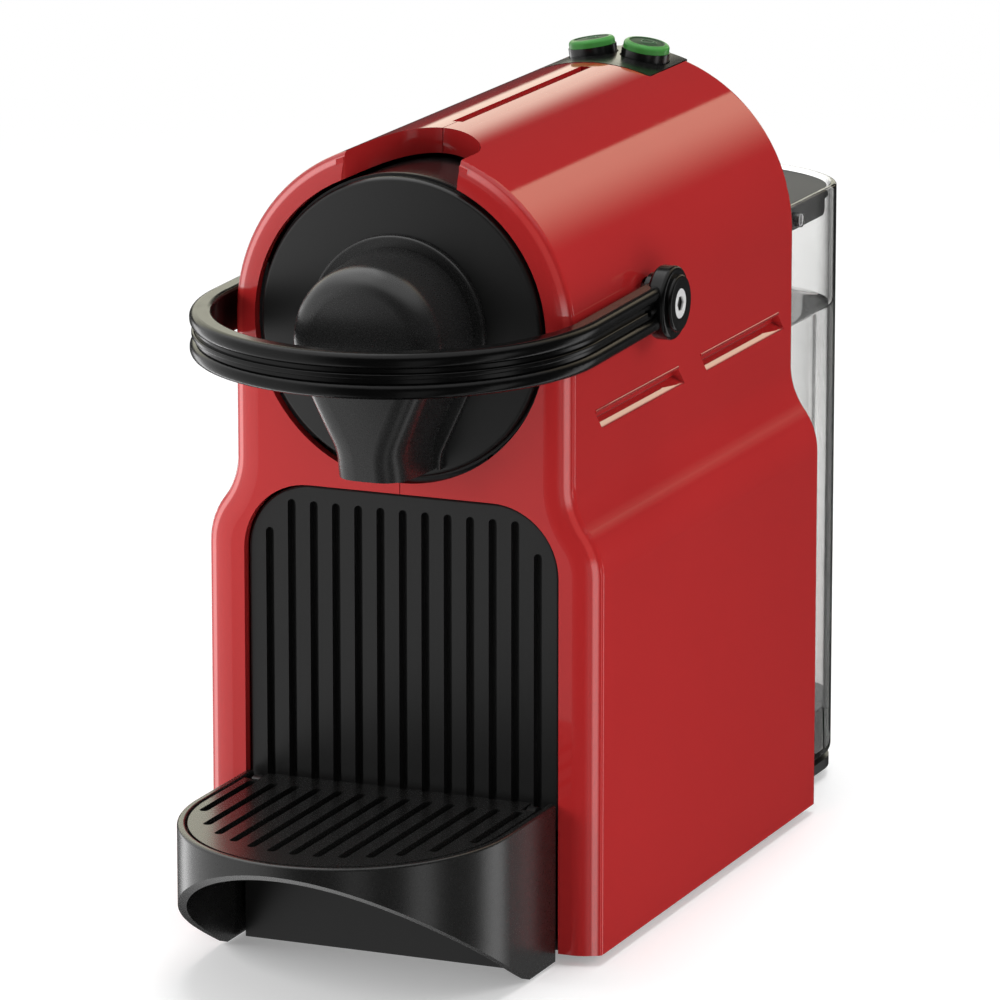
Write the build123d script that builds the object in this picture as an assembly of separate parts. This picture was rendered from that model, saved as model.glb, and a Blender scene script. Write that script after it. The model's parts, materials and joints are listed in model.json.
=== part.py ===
from build123d import *
from math import cos, radians, sin, sqrt
import os

# Compact capsule espresso machine with a loop lever, in millimetres.
# While modelling, y = 0 is the front face of the red body, -y points at the user, z = 0 is the
# table top. export() moves every finished solid so that the origin is under the box's centre.

# Driving dimensions of the body
BODY_DEPTH = 170.0
BODY_BOTTOM = 3.0
HEAD_R = 50.0
HEAD_Z = 174.0
FOOT_HALF = 58.5
FLARE_BOTTOM = 109.0
FLARE_TOP = 134.0
WALL = 2.5
FRONT_WALL = 3.0
SEAM = 0.24
FRONT_ROLL = (5.5, 3.0)
FRONT_CROWN_R = 9.0
FRONT_EDGE_R = 1.5
REAR_ROLL = 2.5
TRAY_REACH = 84.0
TANK_REACH = 66.0
ORIGIN_SHIFT = (TRAY_REACH - BODY_DEPTH - TANK_REACH) / 2
GAP = 0.3

# Openings and grooves of the shells
DISC_OPENING_R = 43.0
SLOT_R = 17.0
SLOT_Y = 13.0
SLOT_LIP = 2.2
PANEL_HALF = 46.2
PANEL_TOP = 127.3
PANEL_CORNER = 19.0
PANEL_RECESS = 2.0
PANEL_THICK = 3.0
PANEL_GAP = 0.6
TOP_GROOVE = (40.0, 133.0)
TOP_GROOVE_HALF = 1.6
TOP_GROOVE_DEPTH = 2.0
SIDE_GROOVE_LENGTH = 61.0
SIDE_GROOVE_SLANT = 5.0
SIDE_GROOVE_DEPTH = 2.6
SIDE_GROOVE_BACKING = 1.6
SIDE_GROOVE_Z = (146.0, 148.2, 151.0)
SIDE_GROOVE_YS = (18.0, 96.0)
SIDE_GROOVE_ROUND = 1.5
SIDE_BEAD_R = 0.5

# Front disc and outlet
DISC_R = 41.4
DISC_FRONT = 0.5
DISC_BACK = 5.0
OUTLET_FOOT_R = 26.0
OUTLET_FOOT_DEPTH = 2.5
DOME_R = 23.0
DOME_REACH = 28.0
DOME_CROWN_R = 150.0
DOME_DRAFT = 4.0
DOME_ROUND = 7.5
SPOUT_SLOPE = 25.0
SPOUT_NECK_R = 10.0
SPOUT_TIP_R = 11.4
SPOUT_BOTTOM_Z = 136.3
SPOUT_TRIM = 6.0
SPOUT_BORE_R = 4.5
SPOUT_BORE_Y = -14.0

# Lever and its crank
PIVOT_Y = 55.6
PIVOT_Z = 175.0
LEVER_TILT = -1.2
LEVER_HALF = 57.5
LEVER_THICK = 6.0
LEVER_HEIGHT = 12.6
LEVER_BEND_Y = 2.3
LEVER_REACH = 56.4
ROLL_INNER_Z = 1.9
ROLL_ROUND = 2.0
RIDGE_HALF = 0.8
RIDGE_INSET = 0.5
RIDGE_ROUND = 0.5
GROOVE_DEPTH = 1.5
LEVER_INNER_ROUND = 1.2
BOSS_R = 10.3
BOSS_X = (53.2, 58.6)
BOSS_ROUND = 1.2
BOSS_NECK_R = 8.0
BOSS_NECK_X = 51.2
DIMPLE_R = 1.3
DIMPLE_Y = 39.8
CAP_R = 8.0
CAP_X = (58.6, 60.0)
LEVER_SCREW_R = 4.15
SCREW_SOCKET = 4.6
SHAFT_R = 5.0
SHAFT_RUNNING = 0.08
CRANK_R = 18.0
CRANK_SWING = 48.0
CRANK_X = (33.2, 38.8)
CRANK_PIN_R = 3.0

# Brew unit
PLATE_R = 22.0
PLATE_BACK = 9.8
CAGE_R = 24.0
CAGE_FRONT = 10.3
CAGE_BACK = 36.0
CAGE_PLATE = 6.0
CAPSULE_MOUTH_R = 16.4
CAPSULE_END_R = 13.0
EAR_X = (28.0, 32.0)
EAR_SLOT = 8.0
SHIELD_R = 41.6
SHIELD_THICK = 3.0
SHIELD_ANGLE = 40.0
SLEEVE_R = 6.0
SLEEVE_BORE_R = 3.4
SLEEVE_LENGTH = 34.0
DELIVERY_R = 3.0
FRAME_X = (41.0, 44.0)
FRAME_Z = (140.0, 188.0)
FRAME_BACK = 115.0
CHUTE_HALF = 23.0
CHUTE_Z = (128.5, 147.0)
CHUTE_Y = (8.0, 46.0)

# Buttons on the head
BUTTON_PANEL_HALF = 16.5
BUTTON_PANEL_FRONT = 140.0
BUTTON_PANEL_CORNER = 1.2
BUTTON_Y = 158.0
BUTTON_ANGLE = 9.2
BUTTON_R = 7.0
BUTTON_HOLE_R = 7.3
BUTTON_SEAT = 47.4
STEM_R = 4.0
BUTTON_CAP_BASE = 52.2
BUTTON_CAP_WALL = 1.2
BUTTON_CAP_HEIGHT = 2.3
BOARD_Z = 208.0
BOARD_THICK = 1.6

# Capsule drawer
DRAWER_HALF = 42.4
DRAWER_FRONT = -10.5
DRAWER_BACK = 86.0
DRAWER_FLOOR = 6.6
DRAWER_TOP = 37.4
DRAWER_WALL = 2.0
BIN_HALF = 38.0
BIN_TOP = 121.0
BIN_BACK = 84.0
RIB_PITCH = 6.65
RIB_COUNT = 13
RIB_GROOVE = 2.4
RIB_GROOVE_DEPTH = 2.5
PANEL_EDGE = 0.8
RIB_TOP = 123.0
RIB_TOP_OUTER = 114.5
RIB_FOOT = 41.0

# Cup tray
TRAY_HALF = 46.4
TRAY_BEND_Y = -33.0
TRAY_BACK = -0.8
TRAY_TOP = 45.5
TRAY_TIP_Z = 1.0
TRAY_WALL = 2.4
APRON_FRONT_Z = 43.0
APRON_MIDDLE = (-50.0, 18.3)
APRON_TIP_Y = -19.0
RIM_ROUND = 0.8
PAN_Z = (41.0, 42.2)
LEDGE = 1.6
GRID_Z = (42.8, 45.3)
GRID_GAP = 0.5
GRID_SLOT = 2.5
GRID_MARGIN = 9.0
HINGE_Y = -4.0
HINGE_Z = 42.0
HINGE_PIN_R = 1.6
LUG_R = 3.2
LUG_X = (39.8, 42.4)

# Water tank
TANK_HALF = 48.5
TANK_FRONT = 171.0
TANK_BEND_Y = 205.0
TANK_BACK = BODY_DEPTH + TANK_REACH
TANK_BOTTOM = 6.6
TANK_TOP = 180.0
TANK_WALL = 2.2
TANK_RIM_ROUND = 0.9
TANK_FOOT_ROUND = 3.0
INLET_X = 30.0
INLET_Y = 190.0
INLET_TOP = 12.0
STEP_TOP = 20.0
SPIGOT_R = 4.5
SPIGOT_TOP = 27.0
LID_PIVOT_Y = 180.0
LID_PIVOT_Z = 174.5
LID_Z = (176.3, 179.0)
LID_FRONT = 176.6
LID_CHEEK_Z = 171.5
LID_PIN_R = 2.0

# Base, feet and inner works
BASE_TOP = 6.0
FOOT_R = 7.0
FOOT_PLACES = ((46, 20), (46, 150), (32, 212))
REAR_PANEL_Y = (167.0, 169.5)
GLAND_X = -51.0
GLAND_R = 3.6
GLAND_Z = 16.0
PUMP_Y = 124.0
PUMP_Z = 48.0
PUMP_HALF = 22.0
PUMP_NOSE_R = 10.0
THERMO_R = 24.0
THERMO_Z = 172.0
THERMO_BACK = 155.0
METER_R = 10.0
METER_TOP = 24.0
TUBE_R = 2.5


def along_x(sketch, start, end):
    """Extrude a YZ outline from one x to another."""
    return Pos(start, 0, 0) * extrude(Plane.YZ * sketch, end - start)


def along_y(sketch, start, end):
    """Extrude an XZ outline from one depth to another."""
    return Pos(0, start, 0) * extrude(Plane.XZ * sketch, start - end)


def along_z(sketch, start, end):
    """Extrude a plan outline from one height to another."""
    return extrude(Pos(0, 0, start) * sketch, end - start)


def block(x, y, z):
    """Box between two corners, each axis given as a low and a high value."""
    size = (x[1] - x[0], y[1] - y[0], z[1] - z[0])
    corner = (Align.MIN, Align.MIN, Align.MIN)
    return Pos(x[0], y[0], z[0]) * Box(*size, align=corner)


def rod_x(radius, y, z, start, end):
    """Round bar along X."""
    return along_x(Pos(y, z) * Circle(radius), start, end)


def rod_y(radius, x, z, start, end):
    """Round bar along Y."""
    return along_y(Pos(x, z) * Circle(radius), start, end)


def rod_z(radius, x, y, start, end):
    """Round bar along Z."""
    return along_z(Pos(x, y) * Circle(radius), start, end)


def mirrored(solid):
    """The same piece on the other side of the machine."""
    return mirror(solid, about=Plane.YZ)


def pair(solid):
    """A right-hand piece and its left-hand twin, as separate solids."""
    return Compound([solid, mirrored(solid)])


def both(solid):
    """A right half joined with its mirror image."""
    return solid + mirrored(solid)


def export(name, solid):
    """Write one node, moved to the part's own origin."""
    export_step(Pos(0, ORIGIN_SHIFT, 0) * solid, f"parts/{name}.step")


# Red shells

def half_outline(inset, floor, seam):
    """Right half of the body's section: round head, straight flank, flare, wide foot."""
    head = HEAD_R - inset
    foot = FOOT_HALF - inset
    middle = ((head + foot) / 2, (FLARE_BOTTOM + FLARE_TOP) / 2)
    crown = HEAD_Z + sqrt(head ** 2 - seam ** 2)
    slant = head * sqrt(0.5)
    return make_face([
        Line((seam, floor), (foot, floor)),
        Line((foot, floor), (foot, FLARE_BOTTOM)),
        TangentArc((foot, FLARE_BOTTOM), middle, tangent=(0, 1)),
        TangentArc((head, FLARE_TOP), middle, tangent=(0, -1)),
        Line((head, FLARE_TOP), (head, HEAD_Z)),
        ThreePointArc((head, HEAD_Z), (slant, HEAD_Z + slant), (seam, crown)),
        Line((seam, crown), (seam, floor)),
    ])


def half_slot(grow, front):
    """Right half of the capsule slot's plan: straight sides that end in a half circle."""
    half = SLOT_R + grow
    slant = half * sqrt(0.5)
    return make_face([
        Line((0, front), (half, front)),
        Line((half, front), (half, SLOT_Y)),
        ThreePointArc((half, SLOT_Y), (slant, SLOT_Y + slant), (0, SLOT_Y + half)),
        Line((0, SLOT_Y + half), (0, front)),
    ])


def half_arch(grow, floor):
    """Right half of the drawer's front: straight sides and a round-cornered top."""
    half = PANEL_HALF + grow
    top = PANEL_TOP + grow
    corner = PANEL_CORNER + grow
    return make_face([
        Line((0, floor), (half, floor)),
        Line((half, floor), (half, top - corner)),
        TangentArc((half, top - corner), (half - corner, top), tangent=(0, 1)),
        Line((half - corner, top), (0, top)),
        Line((0, top), (0, floor)),
    ])


def button_plan(half, front, back):
    """Plan of the button panel, with rounded front corners."""
    plan = Pos(0, (front + back) / 2) * Rectangle(2 * half, back - front)
    front_corners = plan.vertices().filter_by_position(Axis.Y, front, front)
    return fillet(front_corners, BUTTON_PANEL_CORNER)


def head_ring(inner, outer, start, end):
    """Tube round the head's axis."""
    ring = Circle(outer) - Circle(inner)
    return along_y(Pos(0, HEAD_Z) * ring, start, end)


def outer_edges(solid, depth):
    """Outer edges of a half shell at one depth, without those on the seam and the floor."""
    edges = solid.edges().filter_by_position(Axis.Y, depth, depth)
    return [edge for edge in edges if edge.center().X > 1 and edge.center().Z > BODY_BOTTOM + 1]


def side_groove(start):
    """Slanted recess in the flank with an upright top edge and a sloping lower lip."""
    low, middle, high = SIDE_GROOVE_Z
    floor = HEAD_R - SIDE_GROOVE_DEPTH
    section = make_face(Polyline(
        (HEAD_R + 1, high), (floor, high), (floor, middle), (HEAD_R, low), (HEAD_R + 1, low), close=True))
    end = start + SIDE_GROOVE_LENGTH
    slanted = make_face(Polyline(
        (start, high), (end, high), (end + SIDE_GROOVE_SLANT, low), (start + SIDE_GROOVE_SLANT, low),
        close=True))
    run = along_y(section, start - 1, end + SIDE_GROOVE_SLANT + 1)
    return run & along_x(slanted, floor - 1, HEAD_R + 2)


def side_groove_wall(start):
    """Thicker wall behind a flank recess, with a thin bead above the recess."""
    low, _, high = SIDE_GROOVE_Z
    end = start + SIDE_GROOVE_LENGTH
    wall_x = (HEAD_R - SIDE_GROOVE_DEPTH - SIDE_GROOVE_BACKING, HEAD_R - WALL + 0.1)
    wall_y = (start - SIDE_GROOVE_BACKING, end + SIDE_GROOVE_SLANT + SIDE_GROOVE_BACKING)
    wall = block(wall_x, wall_y, (low - SIDE_GROOVE_BACKING, high + SIDE_GROOVE_BACKING))
    bead = rod_y(SIDE_BEAD_R, HEAD_R - SIDE_BEAD_R / 3, high + SIDE_BEAD_R, start, end)
    return wall, bead


def right_half_shell():
    """One moulded half of the red body, open at the back and below."""
    shell = along_y(half_outline(0, BODY_BOTTOM, SEAM / 2), 0, BODY_DEPTH)
    front_face = shell.faces().sort_by(Axis.Y)[0]
    shell = chamfer(outer_edges(shell, 0), *FRONT_ROLL, reference=front_face)
    shell = fillet(outer_edges(shell, FRONT_ROLL[1]), FRONT_EDGE_R)
    shell = fillet(outer_edges(shell, 0), FRONT_CROWN_R)
    shell = fillet(outer_edges(shell, BODY_DEPTH), REAR_ROLL)
    shell -= along_y(half_outline(WALL, BODY_BOTTOM - 1, 0), FRONT_WALL, BODY_DEPTH + 1)
    lip = along_z(half_slot(SLOT_LIP, -1), HEAD_Z + 30, HEAD_Z + HEAD_R)
    lip &= head_ring(DISC_OPENING_R, HEAD_R - WALL / 2, FRONT_WALL / 2, SLOT_Y + SLOT_R + 2 * SLOT_LIP)
    lip -= block((-1, SEAM / 2), (-2, BODY_DEPTH), (HEAD_Z, HEAD_Z + HEAD_R))
    shell += lip
    shell -= rod_y(DISC_OPENING_R, 0, HEAD_Z, -1, FRONT_WALL + 0.5)
    shell -= along_z(half_slot(0, -1), HEAD_Z + 30, HEAD_Z + HEAD_R + 1)
    shell -= along_y(half_arch(PANEL_GAP, 0), -1, FRONT_WALL + 1)
    crown = HEAD_Z + HEAD_R
    shell -= block((0, TOP_GROOVE_HALF), TOP_GROOVE, (crown - TOP_GROOVE_DEPTH, crown + 1))
    for start in SIDE_GROOVE_YS:
        wall, bead = side_groove_wall(start)
        shell = shell + wall + bead - side_groove(start)
    lip_z = SIDE_GROOVE_Z[0]
    lips = shell.edges().filter_by(Axis.Y).filter_by_position(Axis.Z, lip_z, lip_z)
    shell = fillet(lips.filter_by_position(Axis.X, HEAD_R, HEAD_R), SIDE_GROOVE_ROUND)
    shell -= rod_x(SHAFT_R + 1.6, PIVOT_Y, PIVOT_Z, HEAD_R - 2 * WALL, HEAD_R + 1)
    window = button_plan(BUTTON_PANEL_HALF + GAP, BUTTON_PANEL_FRONT - GAP, BODY_DEPTH + 1)
    shell -= along_z(window, HEAD_Z + 40, crown + 1)
    return shell


# Front disc and coffee outlet

def front_disc():
    """Round black front plate of the brew head."""
    disc = rod_y(DISC_R, 0, HEAD_Z, DISC_FRONT, DISC_BACK)
    rim = disc.edges().filter_by_position(Axis.Y, DISC_FRONT, DISC_FRONT)
    disc = fillet(rim, 1.2)
    return disc - rod_y(3.0, 0, HEAD_Z, DISC_FRONT - 1, DISC_BACK + 1)


def drop_outline(top_radius, tip_radius):
    """Teardrop: a round top on the brew axis, sloping funnel sides and a neck that turns upright."""
    slope = radians(SPOUT_SLOPE)
    slant = top_radius * sqrt(0.5)
    side = (top_radius * cos(slope), HEAD_Z - top_radius * sin(slope))
    run = (side[0] - tip_radius - SPOUT_NECK_R * (1 - cos(slope))) / sin(slope)
    neck = (side[0] - run * sin(slope), side[1] - run * cos(slope))
    tube_top = (tip_radius, neck[1] - SPOUT_NECK_R * sin(slope))
    tube_end = (tip_radius, SPOUT_BOTTOM_Z - SPOUT_TRIM)
    right = [
        ThreePointArc((0, HEAD_Z + top_radius), (slant, HEAD_Z + slant), side),
        Line(side, neck),
        TangentArc(tube_top, neck, tangent=(0, 1)),
        Line(tube_top, tube_end),
        Line(tube_end, (0, tube_end[1])),
    ]
    return make_face(right + [mirrored(edge) for edge in right])


def outlet_head():
    """Drafted teardrop with a crowned, rounded front that runs down into the spout, on a thin flange."""
    foot_step = OUTLET_FOOT_R - DOME_R
    drop = Plane.XZ * drop_outline(DOME_R, SPOUT_TIP_R)
    head = Pos(0, DISC_FRONT, 0) * extrude(drop, DOME_REACH + DISC_FRONT + 1, taper=DOME_DRAFT)
    head &= Pos(0, DOME_CROWN_R - DOME_REACH, HEAD_Z) * Sphere(DOME_CROWN_R)
    front = head.faces().sort_by(Axis.Y)[0]
    head = fillet([edge for edge in front.edges() if edge.center().Z > SPOUT_BOTTOM_Z - 1], DOME_ROUND)
    foot = along_y(drop_outline(OUTLET_FOOT_R, SPOUT_TIP_R + foot_step / 2), -OUTLET_FOOT_DEPTH, DISC_FRONT)
    foot = fillet(foot.edges().filter_by_position(Axis.Y, -OUTLET_FOOT_DEPTH, -OUTLET_FOOT_DEPTH), 0.8)
    head += foot
    trim_z = (SPOUT_BOTTOM_Z - 2 * SPOUT_TRIM, SPOUT_BOTTOM_Z)
    head -= block((-DOME_R, DOME_R), (-DOME_REACH - 2, DISC_FRONT + 1), trim_z)
    head -= rod_z(SPOUT_BORE_R, 0, SPOUT_BORE_Y, SPOUT_BOTTOM_Z - 1, HEAD_Z)
    return head - rod_y(3.0, 0, HEAD_Z, SPOUT_BORE_Y, DISC_FRONT + 1)


# Lever, cranks and bushes

def loop_plan(inset):
    """Plan of the lever's outer or inner face: two arms and an elliptical front."""
    half = LEVER_HALF - inset
    reach = LEVER_REACH + LEVER_BEND_Y - inset
    return make_face([
        EllipticalCenterArc((0, LEVER_BEND_Y), half, reach, 180, arc_size=180),
        Line((half, LEVER_BEND_Y), (half, PIVOT_Y)),
        Line((half, PIVOT_Y), (-half, PIVOT_Y)),
        Line((-half, PIVOT_Y), (-half, LEVER_BEND_Y)),
    ])


def at_lever(solid):
    """Turn a piece that was drawn level to the lever's resting tilt."""
    return Pos(0, PIVOT_Y, PIVOT_Z) * Rot(-LEVER_TILT, 0, 0) * Pos(0, -PIVOT_Y, -PIVOT_Z) * solid


def lever_band(low, high, inset, radius):
    """Full plan of the loop between two heights, with its outer edges rounded."""
    band = along_z(loop_plan(inset), PIVOT_Z + low, PIVOT_Z + high)
    rims = [edge for edge in band.edges().filter_by(Plane.XY) if edge.center().Y < PIVOT_Y - 1]
    return fillet(rims, radius)


def lever_boss():
    """Round boss of one arm, on a narrower neck beside the body."""
    boss = rod_x(BOSS_R, PIVOT_Y, PIVOT_Z, *BOSS_X)
    boss = fillet(boss.edges().filter_by(GeomType.CIRCLE), BOSS_ROUND)
    return boss + rod_x(BOSS_NECK_R, PIVOT_Y, PIVOT_Z, BOSS_NECK_X, BOSS_X[0] + 1)


def lever_loop():
    """Loop handle: an upper and a lower roll, a thin ridge in the groove between, and two bosses."""
    half = LEVER_HEIGHT / 2
    loop = lever_band(ROLL_INNER_Z, half, 0, ROLL_ROUND) + lever_band(-half, -ROLL_INNER_Z, 0, ROLL_ROUND)
    loop += lever_band(-RIDGE_HALF, RIDGE_HALF, RIDGE_INSET, RIDGE_ROUND)
    loop += along_z(loop_plan(GROOVE_DEPTH), PIVOT_Z - half + 1, PIVOT_Z + half - 1)
    loop -= along_z(loop_plan(LEVER_THICK), PIVOT_Z - LEVER_HEIGHT, PIVOT_Z + LEVER_HEIGHT)
    inner_rims = [edge for edge in loop.edges().filter_by(Plane.XY)
                  if abs(abs(edge.center().Z - PIVOT_Z) - half) < 0.01 and edge.center().Y < PIVOT_Y - 1
                  and edge.bounding_box().max.X <= LEVER_HALF - LEVER_THICK + 0.01
                  and edge.bounding_box().min.X >= LEVER_THICK - LEVER_HALF - 0.01]
    loop = fillet(inner_rims, LEVER_INNER_ROUND)
    dimple = rod_x(DIMPLE_R, DIMPLE_Y, PIVOT_Z, LEVER_HALF - GROOVE_DEPTH - 0.5, LEVER_HALF + 1)
    socket = rod_x(SHAFT_R, PIVOT_Y, PIVOT_Z, BOSS_NECK_X - 1, BOSS_X[1] - 2)
    bore = rod_x(2.0, PIVOT_Y, PIVOT_Z, BOSS_NECK_X, BOSS_X[1] + 1)
    return at_lever(loop - both(dimple) + both(lever_boss()) - both(socket) - both(bore))


def lever_cap():
    """Round cover ring on the outside of a boss."""
    cap = rod_x(CAP_R, PIVOT_Y, PIVOT_Z, *CAP_X)
    cap = fillet(cap.edges().filter_by_position(Axis.X, CAP_X[1], CAP_X[1]), 0.8)
    return cap - rod_x(LEVER_SCREW_R + 0.2, PIVOT_Y, PIVOT_Z, CAP_X[0] - 1, CAP_X[1] + 1)


def lever_screw():
    """Socket-head screw that holds a boss on its shaft."""
    head = rod_x(LEVER_SCREW_R, PIVOT_Y, PIVOT_Z, CAP_X[0], CAP_X[1] - 0.2)
    socket = Pos(PIVOT_Y, PIVOT_Z) * RegularPolygon(SCREW_SOCKET / 2, 6)
    head -= along_x(socket, CAP_X[0] + 0.3, CAP_X[1])
    return head + rod_x(2.0, PIVOT_Y, PIVOT_Z, BOSS_X[1] - 2, CAP_X[0])


def crank_shaft():
    """Stub shaft with a crank web inside the head and a pin that drives the capsule cage."""
    pin_y = PIVOT_Y - CRANK_R * sin(radians(CRANK_SWING))
    pin_z = PIVOT_Z + CRANK_R * cos(radians(CRANK_SWING))
    hub = Pos(PIVOT_Y, PIVOT_Z) * Circle(SHAFT_R + 4)
    eye = Pos(pin_y, pin_z) * Circle(CRANK_PIN_R + 3)
    web = make_hull((hub + eye).edges())
    shaft = rod_x(SHAFT_R, PIVOT_Y, PIVOT_Z, CRANK_X[0], BOSS_X[1] - 2)
    pin = rod_x(CRANK_PIN_R, pin_y, pin_z, EAR_X[0] + 0.2, CRANK_X[1])
    return shaft + along_x(web, *CRANK_X) + pin


def shaft_bush():
    """Plain bearing of a stub shaft in the brew frame."""
    ring = Circle(SHAFT_R + 2) - Circle(SHAFT_R + SHAFT_RUNNING)
    return along_x(Pos(PIVOT_Y, PIVOT_Z) * ring, FRAME_X[0] - 0.5, FRAME_X[1] + 0.5)


# Brew unit

def brew_frame():
    """Side plates, front bulkhead, back plate and the chute that drops spent capsules."""
    side = block(FRAME_X, (DISC_BACK, FRAME_BACK), FRAME_Z)
    side -= rod_x(SHAFT_R + 2.02, PIVOT_Y, PIVOT_Z, FRAME_X[0] - 1, FRAME_X[1] + 1)
    half = FRAME_X[1]
    bulkhead_top = HEAD_Z - PLATE_R - 0.5
    frame = both(side)
    frame += block((-half, half), (DISC_BACK, CHUTE_Y[0]), (FRAME_Z[0], bulkhead_top))
    frame += block((-half, half), (FRAME_BACK - 3, FRAME_BACK), FRAME_Z)
    chute = block((-CHUTE_HALF, CHUTE_HALF), (CHUTE_Y[0] - 1, CHUTE_Y[1]), CHUTE_Z)
    inner = CHUTE_HALF - 2
    chute -= block((-inner, inner), (CHUTE_Y[0] + 2, CHUTE_Y[1] - 2), (CHUTE_Z[0] - 1, CHUTE_Z[1] + 1))
    frame += chute
    return frame - rod_y(DELIVERY_R, 0, HEAD_Z, FRAME_BACK - 4, FRAME_BACK + 1)


def extraction_plate():
    """Steel plate with raised studs that the capsule is pressed against."""
    plate = rod_y(PLATE_R, 0, HEAD_Z, DISC_BACK, PLATE_BACK - 1.2)
    studs = [Pos(column * 5, HEAD_Z + row * 5) * Rectangle(2.4, 2.4)
             for column in range(-2, 3) for row in range(-2, 3) if column or row]
    plate += along_y(Sketch() + studs, DISC_BACK, PLATE_BACK)
    return plate - rod_y(3.0, 0, HEAD_Z, DISC_BACK - 1, PLATE_BACK)


def capsule_cage():
    """Sliding cage that holds the capsule, with slotted ears for the crank pins."""
    plate_back = CAGE_BACK + CAGE_PLATE
    cage = rod_y(CAGE_R, 0, HEAD_Z, CAGE_FRONT, CAGE_BACK + 1)
    ear = EAR_X[1]
    cage += block((-ear, ear), (CAGE_BACK, plate_back), (HEAD_Z - CAGE_R, HEAD_Z + CAGE_R))
    pin_y = PIVOT_Y - CRANK_R * sin(radians(CRANK_SWING))
    slot_z = PIVOT_Z + CRANK_R * (1 + cos(radians(CRANK_SWING))) / 2
    ear_side = block(EAR_X, (CAGE_BACK, pin_y + 8), (PIVOT_Z + 3, HEAD_Z + CAGE_R + 2))
    cage += both(ear_side)
    pin_slot = Pos(pin_y, slot_z) * Rectangle(EAR_SLOT, 15)
    cage -= both(along_x(pin_slot, EAR_X[0] - 0.5, EAR_X[1] + 1))
    cage += rod_y(SLEEVE_R, 0, HEAD_Z, plate_back - 1, plate_back + SLEEVE_LENGTH)
    cavity = make_face(Polyline(
        (0, CAGE_FRONT - 1), (CAPSULE_MOUTH_R, CAGE_FRONT - 1), (CAPSULE_MOUTH_R, CAGE_FRONT + 2),
        (CAPSULE_END_R, CAGE_BACK + 0.3), (0, CAGE_BACK + 0.3), close=True))
    cage -= Pos(0, 0, HEAD_Z) * revolve(cavity, Axis.Y)
    cage -= rod_y(SLEEVE_BORE_R, 0, HEAD_Z, plate_back, plate_back + SLEEVE_LENGTH + 1)
    return cage - rod_y(1.2, 0, HEAD_Z, CAGE_BACK - 1, plate_back + 1)


def slot_shield():
    """Curved black cover that closes the capsule slot while the lever is down."""
    spread = SHIELD_R * 2
    edge = spread * sin(radians(SHIELD_ANGLE))
    rise = spread * cos(radians(SHIELD_ANGLE))
    wedge = make_face(Polyline((0, HEAD_Z), (edge, HEAD_Z + rise), (-edge, HEAD_Z + rise), close=True))
    front = DISC_BACK + 0.4
    back = CAGE_BACK + CAGE_PLATE
    shield = head_ring(SHIELD_R - SHIELD_THICK, SHIELD_R, front, back) & along_y(wedge, front, back)
    post_top = HEAD_Z + SHIELD_R - SHIELD_THICK / 2
    return shield + block((-8, 8), (CAGE_BACK, back), (HEAD_Z + CAGE_R, post_top))


def piercing_needles():
    """Three blades at the back of the cage."""
    needle = make_face(Polyline((0, 0), (1.3, 0), (0, -6), close=True))
    cone = Pos(0, CAGE_BACK + 0.3, 0) * revolve(needle, Axis.Y)
    return Compound([Pos(8 * cos(radians(turn)), 0, HEAD_Z + 8 * sin(radians(turn))) * cone
                     for turn in (90, 210, 330)])


# Buttons

def at_button(side, solid):
    """Place a piece drawn along +Z on a button's axis, which is square to the head's surface."""
    return Pos(0, BUTTON_Y, HEAD_Z) * Rot(0, side * BUTTON_ANGLE, 0) * solid


def button_panel():
    """Black saddle on the head's crown with two button holes and posts for the board."""
    inner = HEAD_R - WALL - 2.1
    visible = button_plan(BUTTON_PANEL_HALF, BUTTON_PANEL_FRONT, BODY_DEPTH - 0.4)
    flange = button_plan(BUTTON_PANEL_HALF + 4.5, BUTTON_PANEL_FRONT - 4.5, REAR_PANEL_Y[0] - 0.3)
    panel = along_z(visible, HEAD_Z + 30, HEAD_Z + 60)
    panel &= head_ring(HEAD_R - WALL - 0.2, HEAD_R + 0.1, 0, BODY_DEPTH)
    under = along_z(flange, HEAD_Z + 30, HEAD_Z + 60)
    panel += under & head_ring(inner, HEAD_R - WALL - 0.1, 0, BODY_DEPTH)
    post = block((18, 20), (148, 152), (BOARD_Z + BOARD_THICK, HEAD_Z + 42))
    panel += both(post)
    for side in (-1, 1):
        panel -= at_button(side, rod_z(BUTTON_HOLE_R, 0, 0, BUTTON_SEAT, 60))
        panel -= at_button(side, rod_z(STEM_R + GAP, 0, 0, 30, 60))
    return panel


def button_board():
    """Small circuit board with one key switch under each button."""
    board = block((-21, 21), (146, 162), (BOARD_Z, BOARD_Z + BOARD_THICK))
    for side in (-1, 1):
        board += at_button(side, rod_z(2.0, 0, 0, 34.6, 38.2))
    return board


def button_body(side):
    """Black skirt and stem of a button, with a collar that stops it from leaving the panel."""
    inner = HEAD_R - WALL - 2.1
    body = rod_z(BUTTON_R, 0, 0, BUTTON_SEAT + 1.8, BUTTON_CAP_BASE)
    body += rod_z(STEM_R, 0, 0, 40.0, BUTTON_SEAT + 2)
    body += rod_z(STEM_R + 1.4, 0, 0, inner - 2.4, inner - 1.2)
    return at_button(side, body)


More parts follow.
